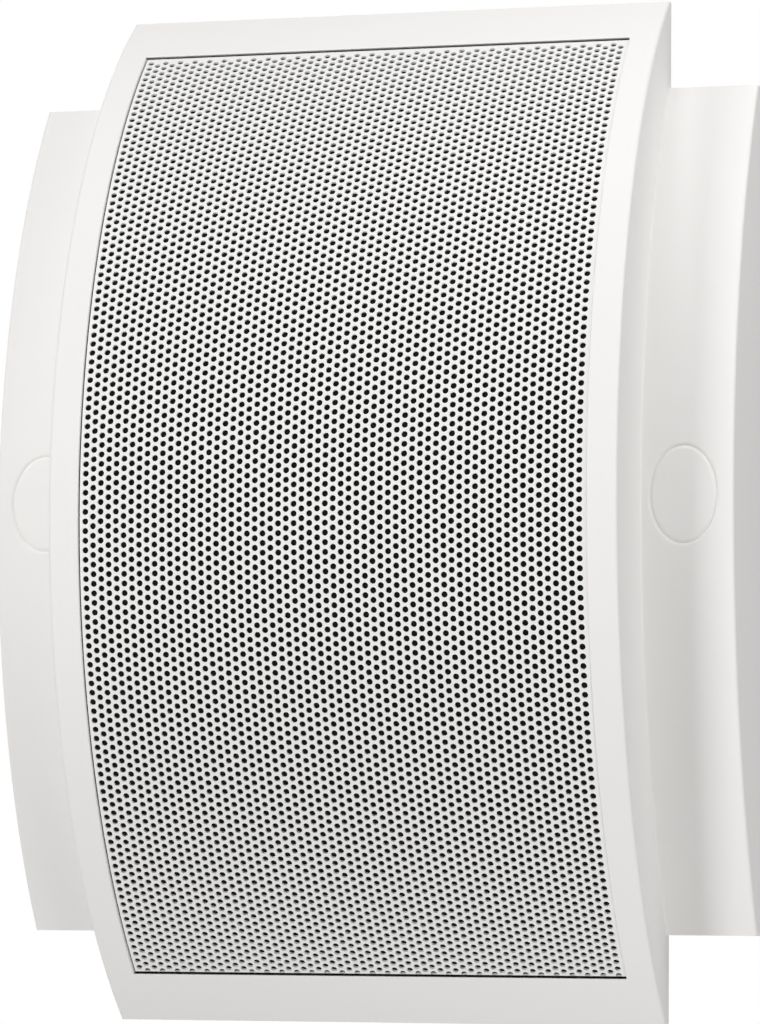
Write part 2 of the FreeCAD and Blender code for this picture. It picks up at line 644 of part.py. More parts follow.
def make_yoke():
    """Back plate and pole piece in one, with a vent down the pole."""
    pole = COIL_R - 0.8
    vent = 3.5
    disc = MAGNET_R - 4.0
    return turned(
        (vent, PLATE_FRONT),
        (pole - 0.5, PLATE_FRONT),
        (pole, PLATE_FRONT + 0.5),
        (pole, MAGNET_REAR),
        (disc, MAGNET_REAR),
        (disc, YOKE_REAR - 1.0),
        (disc - 1.0, YOKE_REAR),
        (vent, YOKE_REAR),
    )


def make_terminal_strip():
    front = PLATE_FRONT - STRIP_T
    return box(-STRIP_W / 2, STRIP_W / 2, front, PLATE_FRONT, STRIP_END_Z, STRIP_TOP_Z)


def make_lugs():
    """Two solder lugs with an eye at the end."""
    lugs = []
    seat = PLATE_FRONT - STRIP_T
    z0, z1 = STRIP_END_Z - LUG_PAST, STRIP_TOP_Z - LUG_PAST
    for sx in (-1, 1):
        blade = box(sx * LUG_X - LUG_W / 2, sx * LUG_X + LUG_W / 2, seat - LUG_T, seat, z0, z1)
        lugs.append(blade.cut(rod(0.225 * LUG_W, sx * LUG_X, z0 + LUG_W / 2, seat - 2, seat + 1)))
    return Part.makeCompound(lugs)


def core_box(half_x, rear, front, half_z):
    z0, z1 = TRANSFORMER_Z - half_z, TRANSFORMER_Z + half_z
    return box(-half_x, half_x, CORE_REAR - front, CORE_REAR - rear, z0, z1)


def make_core():
    """Laminated core: outer frame with two windows either side of the middle leg."""
    block = core_box(CORE_W / 2, 0, CORE_H, CORE_STACK / 2)
    gap = core_box(CORE_W / 2 - YOKE_LEG, YOKE_LEG, CORE_H - YOKE_LEG, CORE_STACK)
    leg = core_box(LEG_W / 2, 0, CORE_H, CORE_STACK / 2)
    return block.cut(gap).fuse(leg).removeSplitter()


def bobbin_tube(extra):
    half_x = LEG_W / 2 + 0.15 + extra
    half_z = CORE_STACK / 2 + 0.15 + extra
    return core_box(half_x, YOKE_LEG + 0.1, CORE_H - YOKE_LEG - 0.1, half_z)


def make_bobbin():
    """Spool on the middle leg, with a flange at each end of the windows."""
    low = YOKE_LEG + 0.1
    high = CORE_H - YOKE_LEG - 0.1
    flange_x = CORE_W / 2 - YOKE_LEG - 0.2
    flange_z = CORE_STACK / 2 + FLANGE_OUT
    flanges = [core_box(flange_x, low, low + BOBBIN_T, flange_z)]
    flanges.append(core_box(flange_x, high - BOBBIN_T, high, flange_z))
    return bobbin_tube(BOBBIN_T).fuse(flanges).cut(bobbin_tube(0.0)).removeSplitter()


def make_winding():
    """Taped coil between the bobbin's flanges."""
    low = YOKE_LEG + 0.1 + BOBBIN_T
    high = CORE_H - YOKE_LEG - 0.1 - BOBBIN_T
    coil = core_box(CORE_W / 2 - YOKE_LEG - 0.6, low, high, COIL_TOP_Z - TRANSFORMER_Z)
    upright = [e for e in coil.Edges if abs(e.CenterOfMass.y - (CORE_REAR - (low + high) / 2)) < 1e-6]
    return coil.makeFillet(3.0, upright).cut(bobbin_tube(BOBBIN_T))


def make_bracket():
    """Channel strap round the core, with a screw foot on each side."""
    side = CORE_W / 2 + BRACKET_T
    outer = core_box(side, -BRACKET_T, CORE_H * 0.75, CORE_STACK / 2 - 0.5)
    strap = outer.cut(core_box(CORE_W / 2, 0, CORE_H, CORE_STACK))
    feet = core_box(FOOT_X + 4.5, -BRACKET_T, 0, CORE_STACK / 2 - 0.5)
    strap = strap.fuse(feet.cut(core_box(side - 0.5, -BRACKET_T - 1, 1, CORE_STACK))).removeSplitter()
    seat = CORE_REAR - 1
    hole_r = SCREW_3[2] + HOLE_PLAY
    return strap.cut([rod(hole_r, sx * FOOT_X, TRANSFORMER_Z, seat, seat + 3) for sx in (-1, 1)])


def make_block():
    """Two-pole terminal block: low feet for its screws, two towers with wire ways and screw wells."""
    front = PANEL_FRONT - BLOCK_T
    z0, z1 = BLOCK_Z - BLOCK_HALF_D, BLOCK_Z + BLOCK_HALF_D
    body = box(-BLOCK_HALF_W, BLOCK_HALF_W, PANEL_FRONT - BLOCK_FOOT, PANEL_FRONT, z0, z1)
    towers = [box(s * POLE_X - 5.0, s * POLE_X + 5.0, front, PANEL_FRONT, z0, z1) for s in (-1, 1)]
    body = body.fuse(towers).removeSplitter()
    cuts = []
    y_way = PANEL_FRONT - BLOCK_T / 2
    for sx in (-1, 1):
        cuts.append(Part.makeCylinder(2.2, z1 - z0 + 2, V(sx * POLE_X, y_way, z0 - 1), V(0, 0, 1)))
        cuts += [rod(CLAMP_R, sx * POLE_X, BLOCK_Z + sz * 4.8, front - 1, y_way) for sz in (-1, 1)]
        cuts.append(rod(SCREW_3[2] + HOLE_PLAY, sx * BLOCK_SCREW_X, BLOCK_Z, front, 0))
    return body.cut(cuts).removeSplitter()


def make_clamp_screws():
    """Four slotted grub screws in the block's wells."""
    screws = []
    front = PANEL_FRONT - BLOCK_T + 1.0
    for sx in (-1, 1):
        for sz in (-1, 1):
            z = BLOCK_Z + sz * 4.8
            grub = rod(CLAMP_R, sx * POLE_X, z, front, PANEL_FRONT - BLOCK_T / 2 - 2.2)
            slot = box(sx * POLE_X - 3, sx * POLE_X + 3, front - 1, front + 1, z - 0.4, z + 0.4)
            screws.append(grub.cut(slot))
    return Part.makeCompound(screws)


def make_supply_leads():
    """Pair from the block, down beside the magnet on the panel, to the transformer's winding."""
    y_block = PANEL_FRONT - BLOCK_T / 2
    y_low = PANEL_FRONT - LEAD_R - 0.05
    y_coil = CORE_REAR - CORE_H / 2
    z_block = BLOCK_Z - BLOCK_HALF_D
    leads = []
    for sx in (-1, 1):
        spread = sx * LEAD_PAIR / 2
        side = spread - MAGNET_R - LEAD_SIDE
        x_coil = spread - LEAD_IN
        route = [V(sx * POLE_X, y_block, z_block + 4.0)]
        z_high = z_block - LEAD_STRAIGHT - spread
        z_low = COIL_TOP_Z + LEAD_STRAIGHT
        route.append(V(sx * POLE_X, y_block, z_high))
        route.append(V(side, y_low, z_high - LEAD_SLANT))
        route.append(V(side, y_low, z_low + LEAD_SLANT - spread))
        route.append(V(x_coil, y_coil, z_low))
        route.append(V(x_coil, y_coil, COIL_TOP_Z + 0.05))
        leads.append(lead(route, LEAD_R, LEAD_BEND))
    return Part.makeCompound(leads)


def make_driver_leads():
    """Pair from the transformer's winding to the driver's lugs."""
    y_coil = CORE_REAR - CORE_H / 2 - LEAD_OFF
    y_lug = PLATE_FRONT - STRIP_T - LUG_T - LEAD_R - 0.02
    z_lug = STRIP_END_Z - LUG_PAST + LUG_W
    rise = z_lug - COIL_TOP_Z
    leads = []
    for sx in (-1, 1):
        route = [V(sx * LUG_X, y_coil, COIL_TOP_Z + 0.05)]
        route.append(V(sx * LUG_X, y_coil, COIL_TOP_Z + 0.28 * rise))
        route.append(V(sx * LUG_X, y_lug, COIL_TOP_Z + 0.56 * rise))
        route.append(V(sx * LUG_X, y_lug, z_lug))
        leads.append(lead(route, LEAD_R, LEAD_BEND))
    return Part.makeCompound(leads)


def screws_of(size, places, seat, length, out):
    return Part.makeCompound([screw(size, x, z, seat, length, out) for x, z in places])


def main():
    caps = [(-CAP_X, 0), (CAP_X, 0)]
    feet = [(-FOOT_X, TRANSFORMER_Z), (FOOT_X, TRANSFORMER_Z)]
    block = [(-BLOCK_SCREW_X, BLOCK_Z), (BLOCK_SCREW_X, BLOCK_Z)]
    block_seat = PANEL_FRONT - BLOCK_FOOT
    nodes = {
        "cabinet": make_cabinet(),
        "grille": make_grille(),
        "grille_cloth": make_cloth(),
        "screw_cap_left": make_cap(-1),
        "screw_cap_right": make_cap(1),
        "cabinet_screws": screws_of(SCREW_4, caps, CUP_FLOOR, CABINET_SCREW_LEN, -1),
        "back_panel": make_back_panel(),
        "cable_grommet": make_grommet(),
        "baffle": make_baffle(),
        "baffle_screws": screws_of(
            SCREW_3, BAFFLE_SCREWS, BAFFLE_FRONT + BAFFLE_T, BAFFLE_T + BAFFLE_GRIP, 1
        ),
        "basket": make_basket(),
        "front_gasket": make_gasket(),
        "surround": make_surround(),
        "cone": make_cone(),
        "dust_cap": make_dust_cap(),
        "spider": make_spider(),
        "coil_former": make_former(),
        "voice_coil": make_voice_coil(),
        "top_plate": make_top_plate(),
        "magnet": make_magnet(),
        "yoke": make_yoke(),
        "terminal_strip": make_terminal_strip(),
        "terminal_lugs": make_lugs(),
        "driver_screws": screws_of(SCREW_4, EAR_XZ, FLANGE_FRONT, SHEET + BAFFLE_T + 3.0, -1),
        "transformer_core": make_core(),
        "transformer_bobbin": make_bobbin(),
        "transformer_winding": make_winding(),
        "transformer_bracket": make_bracket(),
        "transformer_screws": screws_of(SCREW_3, feet, CORE_REAR, BRACKET_T + STANDOFF + 1.5, -1),
        "terminal_block": make_block(),
        "clamp_screws": make_clamp_screws(),
        "block_screws": screws_of(SCREW_3, block, block_seat, BLOCK_FOOT + 2.0, -1),
        "supply_leads": make_supply_leads(),
        "driver_leads": make_driver_leads(),
    }
    os.makedirs("parts", exist_ok=True)
    for name, shape in nodes.items():
        shape.exportStep(f"parts/{name}.step")


main()
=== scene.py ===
"""Looks of a surface loudspeaker: bowed white cabinet, fine perforated front, cloth and oval caps.

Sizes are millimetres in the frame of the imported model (X across, Z up, wall at Y = 0, front
towards -Y) and become metres where a mesh is made.
"""
import json

import bpy
import numpy as np
from mathutils import Matrix, Vector


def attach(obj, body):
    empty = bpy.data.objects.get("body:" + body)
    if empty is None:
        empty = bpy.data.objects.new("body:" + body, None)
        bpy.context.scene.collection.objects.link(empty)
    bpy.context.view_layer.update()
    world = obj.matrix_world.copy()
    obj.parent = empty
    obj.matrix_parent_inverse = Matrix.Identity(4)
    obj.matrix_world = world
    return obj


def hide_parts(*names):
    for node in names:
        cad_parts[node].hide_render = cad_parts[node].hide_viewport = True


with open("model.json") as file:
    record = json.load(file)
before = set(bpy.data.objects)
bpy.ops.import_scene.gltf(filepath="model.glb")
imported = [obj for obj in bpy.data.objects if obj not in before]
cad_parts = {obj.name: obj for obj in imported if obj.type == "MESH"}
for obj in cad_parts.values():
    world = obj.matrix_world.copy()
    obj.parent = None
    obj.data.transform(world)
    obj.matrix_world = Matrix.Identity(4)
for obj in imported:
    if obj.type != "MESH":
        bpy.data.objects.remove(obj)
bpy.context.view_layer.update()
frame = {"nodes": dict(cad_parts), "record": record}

MM = 0.001
SHARP_ANGLE = np.radians(35)
WELD_DIGITS = 4
WAVE_SCALE = 0.5 / np.pi  # scale at which half a wave of the wave texture is nearly one unit long

# Cabinet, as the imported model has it.
BODY_HALF_W, BODY_HALF_H = 75.5, 137.5
WING_HALF_W, WING_HALF_H = 100.0, 113.5
DEPTH, BODY_END_T = 72.0, 2.7
WING_DEPTH, WING_END_T = 41.5, 4.0
WALL = 2.5
END_WALL = 5.6  # the arches close down on the ends of the back panel, so the walls are thick there
RIM_Y = -0.3
EDGE_R = 0.8
CORNER_R = 0.5  # fillet between bow and wing
INNER_R = 0.4  # corners on the inside
WINDOW_HALF_W, WINDOW_HALF_H = 67.5, 125.0
OPEN_HALF_W, OPEN_HALF_H = 62.5, 120.0
LIP_R = 0.3  # softened edge of the window
LEDGE_IN, LEDGE_T, LEDGE_LAP = 1.8, 3.2, 2.5

# Columns (x) and rows (z) of the cabinet's grid between the edges above; IN marks the inner skin.
OPEN_COLUMNS = 7  # from the middle to the side of the opening
LEDGE_X, LEDGE_X_IN = 65.0, 66.0
FRAME_X, FRAME_X_IN = (68.1, 71.2, 74.4, 74.7), (70.3, 71.2, 72.3, 72.6)
BOW_SIDE = np.array([0.02, 0.2, 0.4, 0.6, 0.8, 0.97, 1.0])  # shares of the way down
WING_X = np.array([77.3, 80.5, 84.0, 88.0, 92.0, 96.0, 98.9, 99.2])
WING_SIDE = np.array([0.05, 0.35, 0.7, 1.0])
PATCH_HALF_H, PATCH_ROWS = 17.5, 15  # the piece of a wing that is cut out round its oval
WING_LAST_Z, WING_ROWS = 113.2, 34
PAST_WING_Z, LEDGE_Z, LEDGE_Z_IN = 116.5, 122.5, 123.5
FRAME_Z = (125.6, 128.5, 131.5, 134.5, 137.2)
LIP_DEPTH_IN = 4.0
BEND_IN, BEND_Z_IN = 0.6, 0.2  # lines beside the ledge's bends, which keep them crisp
BEND_LOW_IN, BEND_HIGH_IN = 0.2, 0.1
LIP_STEPS, EDGE_STEPS, FILLET_STEPS = 2, 4, 6

# Perforated sheet: depth of its front below the bow, and the punched pattern.
SHEET_IN, SHEET_T = 0.6, 0.6
SHEET_LEFT, SHEET_RIGHT = -67.05, 67.4  # its play in the window shows on the left
SHEET_HALF_H = 124.35
HOLE_R = 0.84
HOLE_SIDES = 12
EDGE_WEB = 0.05  # what is left of the sheet below the lowest holes, which its end cuts through
EDGE_EVEN = 0.1  # how far the points on its ends are drawn to even steps
COLUMN_STEP, ROW_STEP = 2.0812, 2.5
COLUMNS, ROWS = 64, 111
PATTERN_UP = -0.2  # height of the even columns' middle row over the crown line, along the arc
CLOTH_T, CLOTH_PLAY = 0.6, 0.1
CLOTH_COLUMNS, CLOTH_ROWS = 41, 85

# Oval caps in the wings.
CAP_X = 86.8
CAP_HALF_W, CAP_HALF_H = 8.7, 12.7
CAP_GAP = 0.03
CAP_EDGE_W, CAP_EDGE_D = 1.0, 0.4  # width and depth of the rounded edges on both sides of the line
CAP_EDGE_U = np.linspace(0, 1, 5)  # places of the rings in a rounded edge
CAP_FLAT_W = CAP_EDGE_W + 0.15  # first ring past a rounded edge, which keeps the flat beside it flat
CAP_FOOT_Y = -35.5
CAP_SIDES = 96
CAP_TOP = np.array([0.2, 0.45, 0.7, 0.9])  # shares of the flat top's size
CAP_SKIRT = np.array([[0.1], [0.9]])  # shares of the way down
CAP_FOOT = np.array([[1.0], [0.5]])  # shares of the cap's size
PATCH_RINGS = np.array([[0.3], [0.65], [1.0]])  # shares of the way from an oval to its patch's border

# Camera, as fitted to the photograph.
LENS, SENSOR, FAR_CLIP = 159.38, 36.0, 100.0
CAMERA_AT = (300.90, -1189.34, -115.15)
CAMERA_AIM = (-0.247774, 0.964269, 0.093774)
CAMERA_ROLL = 0.492

# Floor and room.
FLOOR_HALF_W, FLOOR_Z = 60000.0, -2400.0
FLOOR_WHITE = 0.92  # share of plain white in what the camera sees of the floor; the rest takes shadows
ROOM_GLOW, ROOM_COLOUR = 0.256, (1.0, 0.975, 0.935, 1.0)
WHITE = (1.0, 1.0, 1.0, 1.0)


def arch(half_h, depth, end_t):
    """Centre Y and radius of a circle with its crown at Y = -depth and its ends at Y = -end_t, Z = +-half_h.

    The radius is the half height squared plus the rise squared, over twice the rise.
    """
    rise = depth - end_t
    radius = (half_h**2 + rise**2) / (2 * rise)
    return radius - depth, radius


BODY = arch(BODY_HALF_H, DEPTH, BODY_END_T)
WING = arch(WING_HALF_H, WING_DEPTH, WING_END_T)


def arch_y(curve, z, inset=0.0):
    """Y of an arch moved in by inset, at height z.

    It is the centre less the root of the radius squared minus z squared.
    """
    centre, radius = curve
    return centre - np.sqrt((radius - inset) ** 2 - z**2)


def turn(steps):
    """Angles of a quarter turn, without its start: sine and cosine."""
    a = np.pi / 2 * np.arange(1, steps + 1) / steps
    return np.sin(a), np.cos(a)


def put_mesh(name, points, *face_sets):
    """Mesh from points in millimetres and index arrays with one row of corners per face."""
    mesh = bpy.data.meshes.new(name)
    corners = np.concatenate([f.ravel() for f in face_sets]).astype(np.int32)
    sizes = np.concatenate([np.full(len(f), f.shape[1]) for f in face_sets])
    mesh.vertices.add(len(points))
    mesh.vertices.foreach_set("co", (points * MM).astype(np.float32).ravel())
    mesh.loops.add(len(corners))
    mesh.loops.foreach_set("vertex_index", corners)
    mesh.polygons.add(len(sizes))
    mesh.polygons.foreach_set("loop_start", (np.cumsum(sizes) - sizes).astype(np.int32))
    mesh.polygons.foreach_set("use_smooth", np.ones(len(sizes), dtype=bool))
    mesh.update(calc_edges=True)
    mesh.set_sharp_from_angle(angle=SHARP_ANGLE)
    return mesh


def add_piece(mesh, material, slot, *replaced):
    """Object on the housing that stands for the named CAD nodes."""
    piece = bpy.data.objects.new(mesh.name, mesh)
    bpy.context.scene.collection.objects.link(piece)
    mesh.materials.append(material)
    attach(piece, "housing")
    if replaced:
        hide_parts(*replaced)
    return piece


def grid_faces(index):
    """Quads of a grid of vertex numbers; rows run up and columns run right, so they face the front."""
    return np.stack([index[:-1, :-1], index[:-1, 1:], index[1:, 1:], index[1:, :-1]], axis=-1)


def weld(outer, inner, quads):
    """Joins outer points that coincide, keeps the first one's inner point, and drops flat quads."""
    _, first, number = np.unique(np.round(outer, WELD_DIGITS), axis=0, return_index=True, return_inverse=True)
    quads = number.ravel()[quads]
    after = np.roll(quads, -1, axis=1)
    doubled = quads == after
    flat = doubled.any(axis=1) | (quads[:, 0] == quads[:, 2]) | (quads[:, 1] == quads[:, 3])
    three = doubled.sum(axis=1) == 1
    three &= (quads[:, 0] != quads[:, 2]) & (quads[:, 1] != quads[:, 3])
    keep = ~doubled[three]
    return outer[first], inner[first], quads[~flat], quads[three][keep].reshape(-1, 3)


def thicken(outer, inner, quads, tris):
    """Closed shell: the outer skin, the inner skin turned round, and a wall along every open edge."""
    sides = [np.stack([f, np.roll(f, -1, axis=1)], axis=-1).reshape(-1, 2) for f in (quads, tris)]
    edges = np.concatenate(sides)
    count = len(outer)
    forward = edges[:, 0] * count + edges[:, 1]
    backward = edges[:, 1] * count + edges[:, 0]
    a, b = edges[~np.isin(forward, backward)].T
    wall = np.stack([b, a, a + count, b + count], axis=1)
    skins = (quads, tris, quads[:, ::-1] + count, tris[:, ::-1] + count, wall)
    return np.concatenate([outer, inner]), skins


def both_ways(half):
    """Index and sign that mirror a table of half entries about its first one."""
    index = np.concatenate([np.arange(half - 1, 0, -1), np.arange(half)])
    sign = np.concatenate([-np.ones(half - 1), np.ones(half)])
    return index, sign


def cabinet_shell():
    """Moulding as one grid: a section across X carried up along Z.

    Each column is a place in the section, from the middle out: ledge, window wall, front, rounded
    edge, side of the bow, fillet, wing, rounded edge and side of the wing. Each row is a height.
    A point's depth under the bow is the lesser of its column's and its row's, which makes the
    stepped window. Above and below the wings, their columns lie on the bow's side instead, so the
    row where that changes is the wing's end face. A second grid gives the inside.
    """
    lip_s, lip_c = turn(LIP_STEPS)
    edge_s, edge_c = turn(EDGE_STEPS)
    fil_s, fil_c = turn(FILLET_STEPS)
    lip_w = np.concatenate([[0.0], LIP_R * (1 - lip_c)])
    lip_d = np.concatenate([[LIP_R], LIP_R * (1 - lip_s)])
    ledge_low = LEDGE_IN + LEDGE_T
    lip_di = [ledge_low - BEND_LOW_IN, LIP_DEPTH_IN, WALL + BEND_HIGH_IN]
    # Columns of the bow's front: x, depth, and the same for the inside.
    lap_x = WINDOW_HALF_W + LEDGE_LAP
    open_x = np.linspace(0, OPEN_HALF_W, OPEN_COLUMNS)
    front_x = np.concatenate([open_x, [LEDGE_X, WINDOW_HALF_W], WINDOW_HALF_W + lip_w, FRAME_X])
    front_xi = np.concatenate([open_x, [LEDGE_X_IN, lap_x - BEND_IN], np.full(len(lip_w), lap_x), FRAME_X_IN])
    ledge_columns = OPEN_COLUMNS + 2
    front_d = np.concatenate([np.full(ledge_columns, LEDGE_IN), lip_d, np.zeros(len(FRAME_X))])
    front_di = np.concatenate([np.full(ledge_columns, ledge_low), lip_di, np.full(len(FRAME_X), WALL)])
    # Rows, upwards from the middle: z, depth, whether the wing is there, and the same for the inside.
    patch_z = np.linspace(0, PATCH_HALF_H, PATCH_ROWS)
    low = np.concatenate([patch_z, np.linspace(PATCH_HALF_H, WING_LAST_Z, WING_ROWS)[1:], [WING_HALF_H]])
    mid = np.array([WING_HALF_H, PAST_WING_Z, OPEN_HALF_H, LEDGE_Z, WINDOW_HALF_H])
    high = np.array([*FRAME_Z, BODY_HALF_H, BODY_HALF_H])
    z = np.concatenate([low, mid, WINDOW_HALF_H + lip_w, high])
    ledge_rows = len(low) + len(mid)
    row_d = np.concatenate([np.full(ledge_rows, LEDGE_IN), lip_d, np.zeros(len(high))])
    row_di = np.concatenate([np.full(ledge_rows, ledge_low), lip_di, np.full(len(high), WALL)])
    lap_z = WINDOW_HALF_H + LEDGE_LAP
    high_share = (high - high[0]) / (high[-1] - high[0])
    high_zi = lap_z + BEND_Z_IN + high_share * (BODY_HALF_H - END_WALL - lap_z - BEND_Z_IN)
    zi = np.concatenate([low, mid[:3], [LEDGE_Z_IN, lap_z - BEND_IN], np.full(len(lip_w), lap_z), high_zi])
    Z, ZI = z[:, None], zi[:, None]
    row = np.arange(len(z))[:, None]
    on_wing, wing_end, on_rim = row < len(low), row <= len(low), row == len(z) - 1
    wing_z = np.minimum(Z, WING_HALF_H)
    wing_zi = wing_z * (WING_HALF_H - END_WALL) / WING_HALF_H

    xs, ys, xi, yi, zis = [], [], [], [], []

    def column(x, y, x_in, y_in, z_in):
        """Adds columns of the outer and the inner skin, widened to all rows."""
        shape = (len(z), np.broadcast(x, y, x_in, y_in).shape[-1])
        for store, value in zip((xs, ys, xi, yi, zis), (x, y, x_in, y_in, z_in)):
            store.append(np.broadcast_to(value, shape))

    # Front of the bow, then its rounded edge.
    column(
        front_x, arch_y(BODY, Z, np.minimum(front_d, row_d[:, None])),
        front_xi, arch_y(BODY, ZI, np.minimum(front_di, row_di[:, None])), ZI,
    )
    column(
        BODY_HALF_W - EDGE_R * (1 - edge_s), arch_y(BODY, Z, EDGE_R * (1 - edge_c)),
        BODY_HALF_W - WALL - INNER_R * (1 - edge_s), arch_y(BODY, ZI, WALL + INNER_R * (1 - edge_c)), ZI,
    )
    # Side of the bow, down to the wing's fillet, or to the same share of its height past the wing.
    side_top, side_top_in = arch_y(BODY, Z, EDGE_R), arch_y(BODY, ZI, WALL + INNER_R)
    wing_top = arch_y(WING, wing_z, -CORNER_R)
    end_top = arch_y(BODY, WING_HALF_H, EDGE_R)
    share = (arch_y(WING, WING_HALF_H, -CORNER_R) - RIM_Y) / (end_top - RIM_Y)
    side_low = np.where(on_wing, wing_top, RIM_Y + share * (side_top - RIM_Y))
    side_low_in = np.where(on_wing, arch_y(WING, wing_zi, WALL - INNER_R), side_low)
    column(
        BODY_HALF_W, side_top + BOW_SIDE * (side_low - side_top),
        BODY_HALF_W - WALL, side_top_in + BOW_SIDE * (side_low_in - side_top_in), ZI,
    )
    # Wing: fillet, front, rounded edge, side.
    root_x = BODY_HALF_W + CORNER_R
    in_0, in_1 = BODY_HALF_W - WALL + INNER_R, WING_HALF_W - WALL - INNER_R
    flat_xi = in_0 + (WING_X - root_x) / (WING_X[-1] - root_x) * (in_1 - in_0)
    flat, wall = np.ones(len(WING_X)), np.ones(len(WING_SIDE))
    wing_x = np.concatenate(
        [root_x - CORNER_R * fil_c, WING_X, WING_HALF_W - EDGE_R * (1 - edge_s), WING_HALF_W * wall]
    )
    wing_xi = np.concatenate(
        [in_0 - INNER_R * fil_c, flat_xi, in_1 + INNER_R * edge_s, (WING_HALF_W - WALL) * wall]
    )
    wing_d = np.concatenate([CORNER_R * (fil_s - 1), 0 * flat, EDGE_R * (1 - edge_c)])
    wing_di = np.concatenate([WALL - INNER_R * (1 - fil_s), WALL * flat, WALL + INNER_R * (1 - edge_c)])
    top, top_in = arch_y(WING, wing_z, EDGE_R), arch_y(WING, wing_zi, WALL + INNER_R)
    wing_y = np.hstack([arch_y(WING, wing_z, wing_d), top + WING_SIDE * (RIM_Y - top)])
    wing_yi = np.hstack([arch_y(WING, wing_zi, wing_di), top_in + WING_SIDE * (RIM_Y - top_in)])
    past = np.arange(1, len(wing_x) + 1) / len(wing_x)
    column(
        np.where(on_wing, wing_x, BODY_HALF_W),
        np.where(on_wing, wing_y, side_low + past * (RIM_Y - side_low)),
        np.where(on_wing, wing_xi, BODY_HALF_W - WALL),
        np.where(on_wing, wing_yi, side_low_in + past * (RIM_Y - side_low_in)),
        np.where(wing_end, wing_zi, ZI),
    )
    x, y, x_in, y_in, z_in = (np.hstack(a) for a in (xs, ys, xi, yi, zis))
    y, y_in = np.where(on_rim, RIM_Y, y), np.where(on_rim, RIM_Y, y_in)

    # Mirror the quarter to the whole grid.
    rows, up = both_ways(len(z))
    cols, out = both_ways(x.shape[1])
    pick = np.ix_(rows, cols)
    outer = np.stack([x[pick] * out, y[pick], np.broadcast_to(Z, x.shape)[pick] * up[:, None]], axis=-1)
    inner = np.stack([x_in[pick] * out, y_in[pick], z_in[pick] * up[:, None]], axis=-1)
    index = np.arange(outer.shape[0] * outer.shape[1]).reshape(outer.shape[:2])
    cells = np.ones((len(rows) - 1, len(cols) - 1), dtype=bool)

    # Open the middle of the window, and a patch of each wing for the oval.
    height = z[rows] * up
    middle = np.flatnonzero(np.abs(height) <= OPEN_HALF_H)
    across = np.flatnonzero(cols < OPEN_COLUMNS)
    cells[middle[0]:middle[-1], across[0]:across[-1]] = False
    patch_r = np.flatnonzero(np.abs(height) <= PATCH_HALF_H)
    root = x.shape[1] - len(wing_x) + FILLET_STEPS - 1
    tip = root + len(WING_X)
    points, insides, quads = [outer.reshape(-1, 3)], [inner.reshape(-1, 3)], []
    start = index.size
    for side in (-1, 1):
        span = np.flatnonzero((cols >= root) & (cols <= tip) & (out == side))
        cells[patch_r[0]:patch_r[-1], span[0]:span[-1]] = False
        border = patch_border(patch_r, span)
        ring, ring_in = oval_patch(side * CAP_X, outer[border], inner[border])
        numbers = start + np.arange(ring.shape[0] * ring.shape[1]).reshape(ring.shape[:2])
        closed = np.hstack([numbers, numbers[:, :1]])
        quads.append(grid_faces(closed.T).reshape(-1, 4))
        points.append(ring.reshape(-1, 3))
        insides.append(ring_in.reshape(-1, 3))
        start += numbers.size
    quads.insert(0, grid_faces(index)[cells])
    return thicken(*weld(np.concatenate(points), np.concatenate(insides), np.concatenate(quads)))


def patch_border(rows, cols):
    """Grid places round a patch, anticlockwise from its lower left corner."""
    r0, r1, c0, c1 = rows[0], rows[-1], cols[0], cols[-1]
    wide, tall = c1 - c0, r1 - r0
    r = np.concatenate([np.full(wide, r0), np.arange(r0, r1), np.full(wide, r1), np.arange(r1, r0, -1)])
    c = np.concatenate([np.arange(c0, c1), np.full(tall, c1), np.arange(c1, c0, -1), np.full(tall, c0)])
    return r, c


def oval_patch(x0, border, border_in):
    """Rings from the rounded edge of an oval opening out to the border of its patch.

    The first rings are the oval grown by a rounded edge's reach while the depth falls to nought as
    a parabola, the rest go in a straight line from the oval to the border; all lie on the wing's arch.
    """
    half_w, half_h = CAP_HALF_W + CAP_GAP, CAP_HALF_H + CAP_GAP
    angle = np.arctan2(border[:, 2] / half_h, (border[:, 0] - x0) / half_w)
    grow = np.concatenate([CAP_EDGE_W * CAP_EDGE_U, [CAP_FLAT_W]])
    ex = x0 + (half_w + grow[:, None]) * np.cos(angle)
    ez = (half_h + grow[:, None]) * np.sin(angle)
    x = np.vstack([ex, ex[-1] + PATCH_RINGS * (border[:, 0] - ex[-1])])
    z = np.vstack([ez, ez[-1] + PATCH_RINGS * (border[:, 2] - ez[-1])])
    x_in = np.vstack([ex, ex[-1] + PATCH_RINGS * (border_in[:, 0] - ex[-1])])
    z_in = np.vstack([ez, ez[-1] + PATCH_RINGS * (border_in[:, 2] - ez[-1])])
    depth = np.concatenate([CAP_EDGE_D * (1 - CAP_EDGE_U) ** 2, np.zeros(1 + len(PATCH_RINGS))])[:, None]
    ring = np.stack([x, arch_y(WING, z, depth), z], axis=-1)
    ring_in = np.stack([x_in, arch_y(WING, z_in, WALL), z_in], axis=-1)
    ring[-1], ring_in[-1] = border, border_in
    return ring, ring_in


